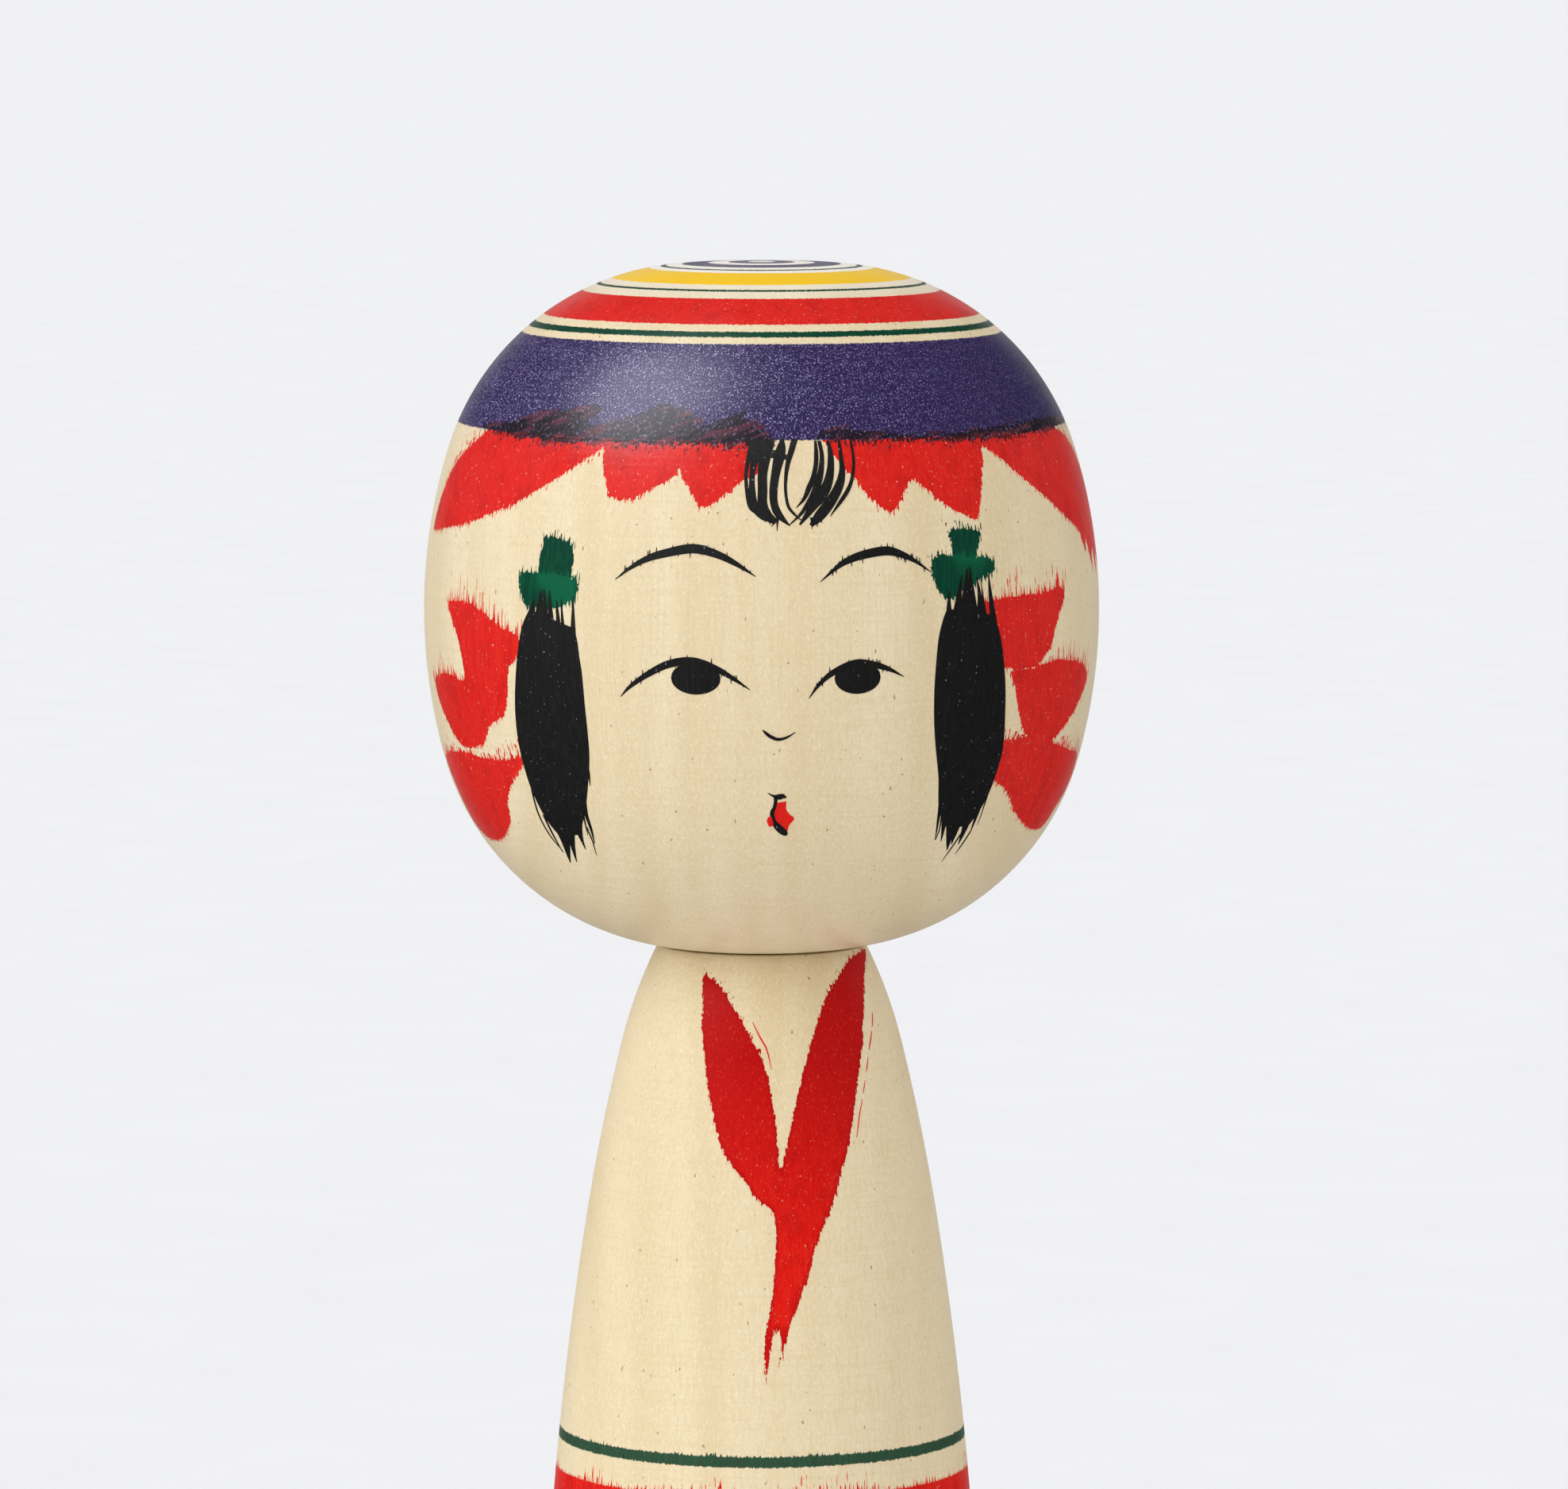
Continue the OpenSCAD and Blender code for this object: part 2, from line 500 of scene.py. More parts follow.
def coats(tree, base, *layers):
    """Lays colours over a base, each where its pattern runs between two values, up to a share."""
    for pattern, low, high, share, over in layers:
        amount = put(tree, "MapRange", pattern, low, high, 0.0, share)
        base = put(tree, "Mix", amount, base, over, data_type="RGBA")
    return base


class Grains:
    """The wood's own patterns, which its colour, its dyes and its gloss all share."""

    def __init__(self, tree, seed):
        self.growth = grain(tree, (4.5, 22, 200), seed)  # soft upright bands, 4 to 5 mm across
        self.fibres = grain(tree, (0.3, 0.3, 12), seed + 1, detail=2)  # fibres, up the grain
        self.pores = grain(tree, (0.28, 0.28, 0.4), seed + 2, detail=1)  # open pores and wax in them
        self.chatter = grain(tree, (9, 9, 0.42), seed + 3)  # the tool's fine rings round the piece
        self.runs = grain(tree, (0.22, 0.22, 7), seed + 4, detail=2)  # fibres that dye runs along
        self.patches = grain(tree, (8, 8, 10), seed + 5)  # where the wood took more dye or wax
        self.pools = grain(tree, (2.2, 2.2, 3.4), seed + 6, detail=2)  # where wet dye stood


def wood_colour(tree, colours, grains, seed):
    """Dogwood: pale and even, with soft growth bands, fine upright fibres and a few brown flecks."""
    fleck = grain(tree, (0.42, 0.42, 0.7), seed + 9, detail=0)
    return coats(
        tree,
        colours.wood,
        (grains.growth, 0.3, 0.75, 0.55, colours.wood_dark),
        (grains.fibres, 0.48, 0.66, 0.34, colours.wood_dark),
        (grains.chatter, 0.5, 0.68, 0.2, colours.wood_dark),
        (grains.pores, 0.56, 0.72, 0.26, colours.wood_dark),
        (grains.pores, 0.44, 0.32, 0.34, colours.wood_light),
        (fleck, 0.83, 0.87, 0.75, colours.wood_speck),
    )


def brushed_mask(tree, name, paint, grains, up=1.0, down=0.4, soft=0.04, rough=0.14, sweep=None):
    """Where a brushed dye lies: its stored edge, run out along the fibres above and, less, below.
    A sweep is the pattern of a dry brush, which pulls the edge out in streaks of its own."""
    edge = put(tree, "Attribute", output="Fac", attribute_name=f"{name}_edge")
    rise = put(tree, "Attribute", output="Fac", attribute_name=f"{name}_rise")
    runs = put(tree, "MapRange", grains.runs, 0.44, 0.72)
    runs = put(tree, "Math", runs, 1.9, operation="POWER")
    for steep, share in ((0.2, up), (-0.2, down)):
        ran = put(tree, "MapRange", rise, steep, 4 * steep, 0.0, share * paint.bleed / MM)
        ran = put(tree, "Math", ran, runs, operation="MULTIPLY")
        edge = put(tree, "Math", edge, ran, operation="SUBTRACT")
    ragged = [(grains.pores, rough), (grains.runs, -rough)]
    if sweep:
        ragged.append((sweep, -0.4))
    for pattern, size in ragged:
        shift = put(tree, "MapRange", pattern, 0.3, 0.7, -size, size)
        edge = put(tree, "Math", edge, shift, operation="ADD")
    return put(tree, "MapRange", edge, soft, -soft)


def turned_mask(tree, place, start, end, grains, bleed=0.0, soft=0.05):
    """A turned band between two places in millimetres, its edges roughened by the fibres. The
    bleed is how far its dye ran up the grain."""
    ragged = put(tree, "MapRange", grains.runs, 0.3, 0.7, -0.1, 0.1)
    place = put(tree, "Math", place, ragged, operation="ADD")
    wetted = place
    if bleed:
        runs = put(tree, "MapRange", grains.runs, 0.46, 0.74)
        runs = put(tree, "Math", runs, 1.6, operation="POWER")
        wet = put(tree, "MapRange", grains.patches, 0.4, 0.6, 0.15 * bleed, bleed)
        wetted = put(tree, "Math", runs, wet, place, operation="MULTIPLY_ADD")
    after = put(tree, "MapRange", wetted, start - soft, start + soft)
    before = put(tree, "MapRange", place, end + soft, end - soft)
    return put(tree, "Math", after, before, operation="MULTIPLY")


def soaked(tree, thick, thin, grains, streak=0.14, speck=0.34):
    """A dye that soaks in unevenly: streaks along the fibres, and pale wax in the open pores."""
    streaks = (grains.fibres, 0.45, 0.68, streak, thin)
    return coats(tree, thick, streaks, (grains.pores, 0.58, 0.72, speck, thin))


def wet_red(tree, colours, grains):
    """Red dye, deeper where it stood wet and along the odd fibre, with a few pale grains of wax."""
    return coats(
        tree,
        soaked(tree, colours.red, colours.red_thin, grains, streak=0.2, speck=0.4),
        (grains.pools, 0.5, 0.68, 0.36, colours.red_deep),
        (grains.fibres, 0.46, 0.34, 0.2, colours.red_deep),
        (grain(tree, (0.2, 0.2, 0.34), 67, detail=0), 0.78, 0.84, 0.5, colours.wood),
    )


def purple_with_painted_glints(tree, colours, grains):
    """Purple dye with fine pale wax grains painted on as glints: a painted highlight, strongest on the
    left as one looks at the face, where the key light falls, and weaker towards the right."""
    purple = soaked(tree, colours.purple, colours.purple_wax, grains, streak=0.1, speck=0.3)
    side = put(tree, "SeparateXYZ", put(tree, "TexCoord", output="Object"), output="X")
    painted_glints = put(tree, "MapRange", grain(tree, (0.17, 0.17, 0.2), 51, detail=0), 0.58, 0.76)
    # painted highlight: the glints are full on the left as one looks at the face, where the key light
    # falls, and fade to a third on the right
    for limits in ((grains.chatter, 0.35, 0.65, 0.55, 1.0), (side, -5 * MM, 25 * MM, 1.0, 0.35)):
        glint_share = put(tree, "MapRange", *limits)
        painted_glints = put(tree, "Math", painted_glints, glint_share, operation="MULTIPLY")
    return put(tree, "Mix", painted_glints, purple, colours.pale_speck_and_glint, data_type="RGBA")


def dyes_for(tree, colours, grains):
    """The four dyes that are laid on at the lathe."""
    return {
        "red": wet_red(tree, colours, grains),
        "green": soaked(tree, colours.green, colours.green_thin, grains, streak=0.4),
        "yellow": soaked(tree, colours.yellow, colours.yellow_thin, grains),
        "purple": purple_with_painted_glints(tree, colours, grains),
    }


# Bands turned on the head: distance from the crown in mm, from, to, and the dye.
HEAD_BANDS = (
    (1.6, 3.9, "purple"),
    (6.2, 9.3, "purple"),
    (11.15, 11.8, "green"),
    (13.1, 17.6, "yellow"),
    (19.05, 19.55, "green"),
    (21.3, 26.6, "red"),
    (27.85, 28.8, "green"),
)
PURPLE_BAND = (29.9, 42.85)


def finish_wood(tree, base, grains, shine):
    """Waxed surface: satin, with the tool's rings and the open fibres as bump."""
    height = put(tree, "Math", grains.chatter, 0.7, grains.fibres, operation="MULTIPLY_ADD")
    height = put(tree, "Math", grains.pores, 0.8, height, operation="MULTIPLY_ADD")
    look = {
        "Base Color": base,
        "Roughness": put(tree, "MapRange", grains.patches, 0.3, 0.7, 0.3, 0.37),
        "IOR": 1.46,
        "Specular IOR Level": shine,
        "Normal": put(tree, "Bump", sockets={"Height": height, "Strength": 0.35, "Distance": 0.06 * MM}),
    }
    put(tree, "OutputMaterial", put(tree, "BsdfPrincipled", sockets=look))


def new_material(name):
    material = bpy.data.materials.new(name)
    material.use_nodes = True
    material.node_tree.nodes.clear()
    return material, material.node_tree


def head_material(colours, paint):
    """Waxed dogwood, turned and dyed: pale and satin, whiter towards the crown, for its end grain and as a
    painted sheen where it faces the light above.
    """
    material, tree = new_material("waxed_dogwood_head")
    grains = Grains(tree, 2.0)
    along = put(tree, "Attribute", output="Fac", attribute_name="along")
    along = put(tree, "Math", along, 1 / MM, operation="MULTIPLY")
    # whiter towards the crown: its end grain, and a painted sheen where it faces the light above
    base = coats(tree, wood_colour(tree, colours, grains, 2.0), (along, 24, 12, 0.85, colours.crown_grain_and_sheen))
    dyes = dyes_for(tree, colours, grains)
    dyes["ribbon"] = coats(tree, dyes["green"], (grains.patches, 0.45, 0.55, 1.0, colours.green_thin))
    smear = grain(tree, (4.0, 4.0, 0.6), 93, detail=2, lean=-22)  # the brush was drawn up to the right
    dyes["wash"] = coats(
        tree,
        colours.wash,
        (smear, 0.52, 0.66, 0.6, colours.wash_red),
        (grains.pores, 0.6, 0.72, 0.35, colours.pale_speck_and_glint),
    )
    ink_left = put(tree, "MapRange", smear, 0.42, 0.66, 1.0, 0.84)
    wash = brushed_mask(tree, "wash", paint, grains, up=0.1, down=0.45, soft=0.1, sweep=smear)
    laid = [(turned_mask(tree, along, start, end, grains), name) for start, end, name in HEAD_BANDS]
    laid += [
        (brushed_mask(tree, "red", paint, grains, up=1.2, down=0.25, rough=0.11), "red"),
        (turned_mask(tree, along, *PURPLE_BAND, grains), "purple"),
        (brushed_mask(tree, "green", paint, grains, up=0.6), "green"),
        (brushed_mask(tree, "lobe", paint, grains, up=0.35), "ribbon"),
        (put(tree, "Math", wash, ink_left, operation="MULTIPLY"), "wash"),
    ]
    for mask, name in laid:
        base = put(tree, "Mix", mask, base, dyes[name], data_type="RGBA")
    finish_wood(tree, base, grains, shine=0.25)
    return material


# Bands turned on the body: millimetres below the seam, from, to, the dye, and how far it ran up.
# Those below the first two are a guess at what the doll's lower half carries.
BODY_BANDS = (
    (56.95, 58.2, "green", 0.35),
    (61.6, 74.0, "red", 3.0),
    (76.2, 77.3, "green", 0.3),
    (79.6, 88.0, "purple", 0.6),
    (90.3, 91.3, "green", 0.3),
    (93.4, 98.6, "yellow", 0.4),
    (100.8, 101.8, "green", 0.3),
    (104.2, 125.0, "red", 1.6),
    (127.4, 128.5, "green", 0.3),
    (131.0, 140.6, "purple", 0.6),
    (143.0, 144.1, "green", 0.3),
    (147.0, 158.6, "red", 1.6),
)


def body_material(colours, paint):
    """Waxed dogwood, turned and dyed: pale and duller than the head, with a brushed red collar."""
    material, tree = new_material("waxed_dogwood_body")
    grains = Grains(tree, 14.0)
    height = put(tree, "SeparateXYZ", put(tree, "TexCoord", output="Object"), output="Z")
    below = put(tree, "Math", height, -1 / MM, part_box("body")[1].z / MM, operation="MULTIPLY_ADD")
    base = wood_colour(tree, colours, grains, 14.0)
    dyes = dyes_for(tree, colours, grains)
    dyes["green"] = put(tree, "Mix", 0.04, dyes["green"], base, data_type="RGBA")  # it lies thinner here
    for start, end, name, bleed in BODY_BANDS:
        mask = turned_mask(tree, below, start, end, grains, bleed)
        base = put(tree, "Mix", mask, base, dyes[name], data_type="RGBA")
    deep = coats(tree, colours.red_deep, (grains.pores, 0.62, 0.74, 0.5, colours.red_thin))
    rim = put(tree, "Attribute", output="Fac", attribute_name="collar_edge")
    collar = coats(
        tree,
        dyes["red"],
        (below, 34, 12, 0.85, deep),  # deeper red towards the top of the collar, under the chin
        (rim, -0.55, -0.1, 0.7, colours.red_deep),  # the dye pooled and dried along its rim
    )
    mask = brushed_mask(tree, "collar", paint, grains, up=0.3, down=0.24, rough=0.1)
    base = put(tree, "Mix", mask, base, collar, data_type="RGBA")
    finish_wood(tree, base, grains, shine=0.08)
    return material


def ink_material(colours):
    """Brushed soot ink: dense, nearly matt black with a little lint."""
    material, tree = new_material("soot_ink")
    streaks = grain(tree, (0.3, 0.3, 5), 201, detail=2)
    lint = grain(tree, (0.2, 0.2, 0.3), 205, detail=0)
    look = {
        "Base Color": coats(
            tree,
            colours.ink,
            (streaks, 0.5, 0.7, 0.5, colours.ink_thin),
            (lint, 0.8, 0.86, 0.6, colours.pale_speck_and_glint),
        ),
        "Roughness": put(tree, "MapRange", streaks, 0.3, 0.7, 0.5, 0.6),
        "Specular IOR Level": 0.22,
        "Normal": put(tree, "Bump", sockets={"Height": streaks, "Strength": 0.3, "Distance": 0.03 * MM}),
    }
    put(tree, "OutputMaterial", put(tree, "BsdfPrincipled", sockets=look))
    return material


def lip_material(colours):
    """Brushed red dye of the mouth and of the stray hairs: thin, with the wood's satin wax over it."""
    material, tree = new_material("brushed_red_dye")
    grains = Grains(tree, 221)
    finish_wood(tree, soaked(tree, colours.red, colours.red_thin, grains), grains, shine=0.2)
    return material


def paper_material(colours):
    """Matt seamless paper: even, with a mottle that is barely seen."""
    material, tree = new_material("studio_paper")
    mottle = grain(tree, (30, 30, 30), 301)
    base = coats(tree, colours.paper, (mottle, 0.3, 0.7, 1.0, colours.paper_thin))
    look = {"Base Color": base, "Roughness": 1.0, "Specular IOR Level": 0.0}
    put(tree, "OutputMaterial", put(tree, "BsdfPrincipled", sockets=look))
    return material


# ---------------------------------------------------------------- brushwork
# Shapes are in degrees round from the front, with those on the left as one looks at the face
# negative, and in millimetres above the brush level on the head, or above the seam on the body.

RED_PETALS = (
    (  # outer petal on the left, under the purple band
        (-58, 63.5), (-62.5, 60.8), (-67.5, 59), (-73, 56.6), (-77, 53.6), (-79.5, 50.2), (-79, 48.6),
        (-71, 49.2), (-62.3, 50.1), (-55.7, 51.3), (-47.8, 53.1), (-41, 55.3), (-35.5, 57.5), (-29.5, 60.2),
        (-30, 63.5), (-44, 64.5),
    ),
    (  # second petal on the left
        (-30.2, 63.5), (-29.9, 59.5), (-28.6, 56.4), (-26.8, 54.3), (-23.4, 54.2), (-20.1, 55.1),
        (-15.7, 56.7), (-14.6, 58), (-14.2, 63.5),
    ),
    (  # third petal on the left, up to the forelock
        (-14.8, 63.5), (-14.2, 57.2), (-12.4, 55.4), (-11.2, 54), (-9.8, 53.4), (-8.4, 53.8),
        (-6.2, 54.9), (-3, 56.4), (0, 57.6), (1.5, 61), (0, 63.5),
    ),
    (  # first petal on the right of the forelock
        (11, 62.5), (11.8, 60.6), (14.2, 58.3), (16.8, 56.4), (18.6, 54.8), (20.7, 53.6), (22.7, 52.7),
        (24.2, 53.3), (26, 55.2), (28.2, 57.4), (28.4, 62.5),
    ),
    (  # second petal on the right
        (27.4, 62.5), (27.6, 57), (30.7, 54.9), (34.4, 53), (38.2, 51.8), (40.2, 51.4), (41.4, 53.3),
        (43.2, 57), (44.2, 59.1), (43.5, 62.5),
    ),
    (  # outer petal on the right
        (40, 62.5), (42, 60.5), (47.4, 58.6), (52.2, 56.3), (59.4, 53.4), (65.5, 51), (71.6, 48.8),
        (74.2, 46.2), (75.4, 47.8), (78.2, 44.4), (79.6, 46.6), (82.4, 43.2), (83.4, 45.8), (86.4, 44),
        (88, 46.8), (88.5, 51.5), (85.5, 55.8), (79, 59.3), (73.5, 60.6), (62, 63),
    ),
)
RED_DABS = (
    (  # upper left
        (-66.4, 40.7), (-63.5, 41.2), (-58.6, 41.3), (-54, 40.4), (-49.6, 39.1), (-44.4, 37.8),
        (-45.2, 35.6), (-47.4, 33.8), (-48.2, 30.3), (-49.9, 28.5), (-54.2, 27.2), (-57.4, 24.9),
        (-65.6, 24.1), (-71, 26.4), (-75.4, 29.5), (-75.6, 31.6), (-67.6, 32.6), (-61, 32.2),
        (-61.6, 35.8), (-64.2, 38.6),
    ),
    (  # lower left
        (-80.4, 22.2), (-67.4, 23.5), (-59, 23.3), (-52.4, 23.3), (-46.4, 24), (-46.9, 22.8),
        (-49.6, 21.3), (-53.7, 18.6), (-55.9, 15.8), (-61.7, 13.7), (-67, 12.9), (-73.5, 12.9),
        (-79.5, 14.2), (-79.6, 17.8), (-81.2, 20.6),
    ),
    (  # upper right
        (40.5, 41.9), (49.3, 42.5), (56, 42.6), (61.4, 43), (62.2, 41.6), (60, 39.6), (58.4, 37.4),
        (56.6, 35.6), (51.8, 34), (44, 34.8), (40, 38),
    ),
    (  # middle right
        (46.6, 34), (52.1, 33.9), (59.4, 34.6), (66, 34.2), (72.4, 33.2), (75.2, 31.6), (73.6, 30.2),
        (69.7, 28), (62.4, 25.2), (58, 24.9), (52.6, 26.2), (49.6, 29), (47.6, 32.4),
    ),
    (  # lower right
        (43, 25.6), (49.5, 25.9), (56, 26.1), (63.9, 24.6), (72, 23.4), (79.8, 22.4), (82, 19.8),
        (80, 17.8), (77.6, 16.6), (74.1, 14.2), (65.5, 14.4), (56.1, 16.7), (49.5, 20.1), (45.4, 21.6),
    ),
)
GREEN_KNOTS = (
    ((-39.6, 49.2), (-37.3, 49.6), (-33.5, 48.7), (-33.3, 47.1), (-33.8, 44.6), (-39.8, 44.6), (-40.4, 47)),
    ((33.9, 50.4), (37, 50.5), (40.5, 50.1), (39.4, 48.2), (38.4, 46), (34.4, 46), (34, 48.9)),
)
GREEN_LOBES = (
    (
        (-44.6, 45.2), (-41, 45.4), (-36, 45.3), (-33.6, 45), (-31.8, 44.7), (-32.1, 43.4),
        (-34, 42.2), (-36.4, 41.5), (-39.8, 41.3), (-43, 41.6), (-44.3, 43.1),
    ),
    (
        (31.4, 47.7), (34.4, 47.6), (38, 47.2), (41.6, 47.2), (43.1, 46.2), (41.9, 45.2), (38.6, 44.6),
        (36.4, 43.8), (34.2, 42.9), (32.4, 42.7), (30.5, 44.1), (29.7, 46), (30.1, 47.3),
    ),
)
HAIR_WASH = (
    (  # far left
        (-66, 61.2), (-56, 61.9), (-51.5, 62.5), (-47, 63.1), (-42.2, 63.6), (-37.1, 64.1),
        (-33.4, 64.3), (-31.4, 63.9), (-33.2, 63.2), (-34.3, 62.3), (-32.6, 62.1), (-28.9, 62.7),
        (-30.5, 61.8), (-29.6, 60.8), (-34, 60.1), (-42.2, 60.1), (-49.6, 60.3), (-57.6, 60.7),
    ),
    (  # middle
        (-30.9, 60.9), (-30, 62.2), (-26.7, 63.1), (-24.2, 63.7), (-21.6, 64.4), (-18.6, 64.9),
        (-17.3, 64.5), (-15, 64.1), (-12.3, 63.3), (-10.7, 62.4), (-9.4, 61.2), (-11.4, 60.3),
        (-15.4, 60.4), (-20.4, 60.3), (-25.7, 60.1),
    ),
    (  # to the forelock
        (-11.2, 60.9), (-10.7, 62.4), (-7.8, 63.1), (-4.9, 63.7), (-2.1, 64.1), (-2.9, 63.4), (-0.9, 63.2),
        (-2.5, 62.7), (-0.4, 62.4), (1.2, 61.7), (2.5, 60.9), (1.6, 60.2), (-2.8, 60.2), (-7.5, 60.2),
    ),
    (  # right of it
        (10.1, 61.2), (11.6, 61.9), (15.1, 62.2), (21.2, 61.7), (29.2, 61.3), (38.2, 61.3), (48.6, 61.6),
        (59.4, 61.9), (72, 62), (86, 61.2), (74, 60.8), (62, 60.5), (43.4, 60.3), (28.9, 60.6),
        (17.8, 60.7),
    ),
)

COLLAR = (
    (  # left stroke, down to the crossing and on into the right one
        (-29.3, -2.2), (-23.5, -3.1), (-17.3, -4.2), (-14, -5.5), (-9.7, -6.9), (-5.7, -8.5), (-2.5, -10.1),
        (-0.2, -11.2), (2.2, -13.3), (3.8, -15.6), (4.9, -17.7), (5.6, -19.9), (6, -22), (6.5, -24.1),
        (14, -26.7), (12, -29.2), (5.1, -28.9), (2.4, -28.4), (-1.4, -27.4), (-4.3, -26.2), (-6.6, -25),
        (-9.9, -23.9), (-14.2, -21.6), (-17.2, -19.1), (-19.1, -17), (-22.2, -13.7), (-24.7, -10.3),
        (-26.9, -7.6), (-27.6, -5.7), (-29.2, -4), (-30.4, -2.8),
    ),
    (  # right stroke, from under the chin
        (78, -0.3), (62.8, -0.6), (51.7, -1.3), (43.4, -2.4), (34, -4.2), (28.5, -6), (23.2, -8.7),
        (19.2, -11.2), (16.3, -13.7), (13.4, -16.4), (10.9, -18.9), (9.3, -21.1), (7.6, -23.1), (6, -25.7),
        (5.6, -29.5), (13, -31.1), (21.3, -29.9), (24.2, -28.4), (26.9, -26.3), (28.9, -24.4), (32.4, -22),
        (34.6, -19.9), (37.5, -17.4), (39.7, -15.3), (43, -12.8), (47.5, -10), (49.4, -8.2), (53.3, -6.4),
        (57.8, -4.4), (65.1, -2.2), (72, -1.3),
    ),
    (  # stem, which ends in a fork
        (4.5, -28.3), (4.9, -31.1), (4.5, -33.8), (4, -36.2), (3.6, -38), (2.8, -39.9), (1.9, -41.6),
        (1.1, -43.6), (0.9, -46.1), (1, -47.3), (1.6, -48), (2.3, -46.4), (2.8, -44.5), (3.7, -42.9),
        (5.1, -42.1), (5.8, -43.1), (5.8, -44.8), (5, -46.2), (6.2, -45.3), (7.6, -43.7), (8.4, -42.3),
        (9.9, -40.7), (11.5, -39.4), (13.3, -37.5), (15.2, -35.9), (16.7, -34), (19.3, -31.7),
        (21.8, -29.3), (13, -27.7),
    ),
)

STRAYS = (  # fine red hairs beside the collar, the right one broken into dashes
    ((-3.8, -7.4, 0.04), (-0.6, -9.1, 0.08), (2.2, -10.5, 0.08), (4, -12.7, 0.03)),
    ((58.4, -7.2, 0.04), (56.5, -8.2, 0.08), (55.2, -8.8, 0.03)),
    ((54.4, -9.2, 0.03), (52.8, -9.9, 0.09), (51, -10.7, 0.09), (49.8, -11.3, 0.03)),
    ((48.6, -12, 0.03), (46.9, -13.1, 0.08), (45.9, -13.7, 0.03)),
    ((44.6, -14.6, 0.03), (43.4, -15.4, 0.06), (42.4, -16.1, 0.03)),
    ((41.6, -16.7, 0.03), (39.3, -18.3, 0.07), (37.6, -19.9, 0.06), (36.5, -21, 0.02)),
)

BROWS = (
    (
        (-24.9, 45.1, 0.03), (-22.4, 46.4, 0.2), (-19.5, 47.5, 0.36), (-16.3, 48.2, 0.47),
        (-11.4, 48.8, 0.54), (-7.4, 48.2, 0.44), (-4, 47.1, 0.28), (-0.8, 45.7, 0.03),
    ),
    (
        (9.9, 45.1, 0.03), (12.2, 46.4, 0.2), (14.2, 47.3, 0.36), (17.2, 48, 0.48), (21.4, 48.4, 0.52),
        (24.4, 47.9, 0.38), (27, 47, 0.2), (29.6, 45.8, 0.03),
    ),
)
LIDS = (
    (
        (-24, 31.8, 0.03), (-22.2, 33, 0.2), (-19.2, 34.4, 0.34), (-15.4, 35.7, 0.44),
        (-11.4, 36.1, 0.46), (-7.8, 35.4, 0.38), (-4.6, 34.2, 0.24), (-1.8, 32.9, 0.03),
    ),
    (
        (8, 31.9, 0.03), (9.6, 33.4, 0.2), (12, 34.8, 0.34), (15.8, 35.8, 0.44), (19.4, 35.5, 0.38),
        (22, 34.9, 0.22), (24.3, 34.1, 0.03),
    ),
)
PUPILS = ((-10.8, 34.15, 4.15, 1.85), (16.2, 34.15, 3.95, 1.85))  # angle and height, and their halves
NOSE_AND_MOUTH = (
    (
        (0.3, 28.3, 0.05), (0.9, 27.9, 0.17), (1.7, 27.5, 0.2), (2.9, 27.2, 0.18), (4.3, 27.4, 0.13),
        (5.8, 28, 0.03),
    ),
    (
        (1.2, 20.95, 0.03), (2.2, 20.6, 0.13), (2.7, 20.5, 0.26), (3.3, 20.5, 0.34), (3.9, 20.55, 0.28),
        (4.5, 20.4, 0.06),
    ),
    (
        (2.6, 20.5, 0.22), (2.6, 19.9, 0.2), (2.4, 19.2, 0.2), (2.05, 18.7, 0.24), (2.1, 18.1, 0.26),
        (2.4, 17.5, 0.31), (3, 17, 0.4), (3.8, 16.5, 0.44), (4.6, 16.1, 0.32), (4.95, 16, 0.06),
    ),
)
LIPS = (  # left edge and right edge of each touch of red, from the top
    (
        ((2.9, 19.8), (2.5, 18.9), (2.2, 18.3), (2.6, 17.8), (3.2, 17.2), (3.9, 16.8), (4.6, 16.3)),
        ((4.5, 19.95), (4.5, 19.4), (4.55, 19), (5.2, 18.4), (6.05, 17.9), (5.2, 17.1), (4.9, 16.4)),
    ),
    (((1.3, 18.1), (1.1, 17.6), (1.5, 17)), ((1.9, 18.2), (2.2, 17.6), (2.3, 17.1))),
)
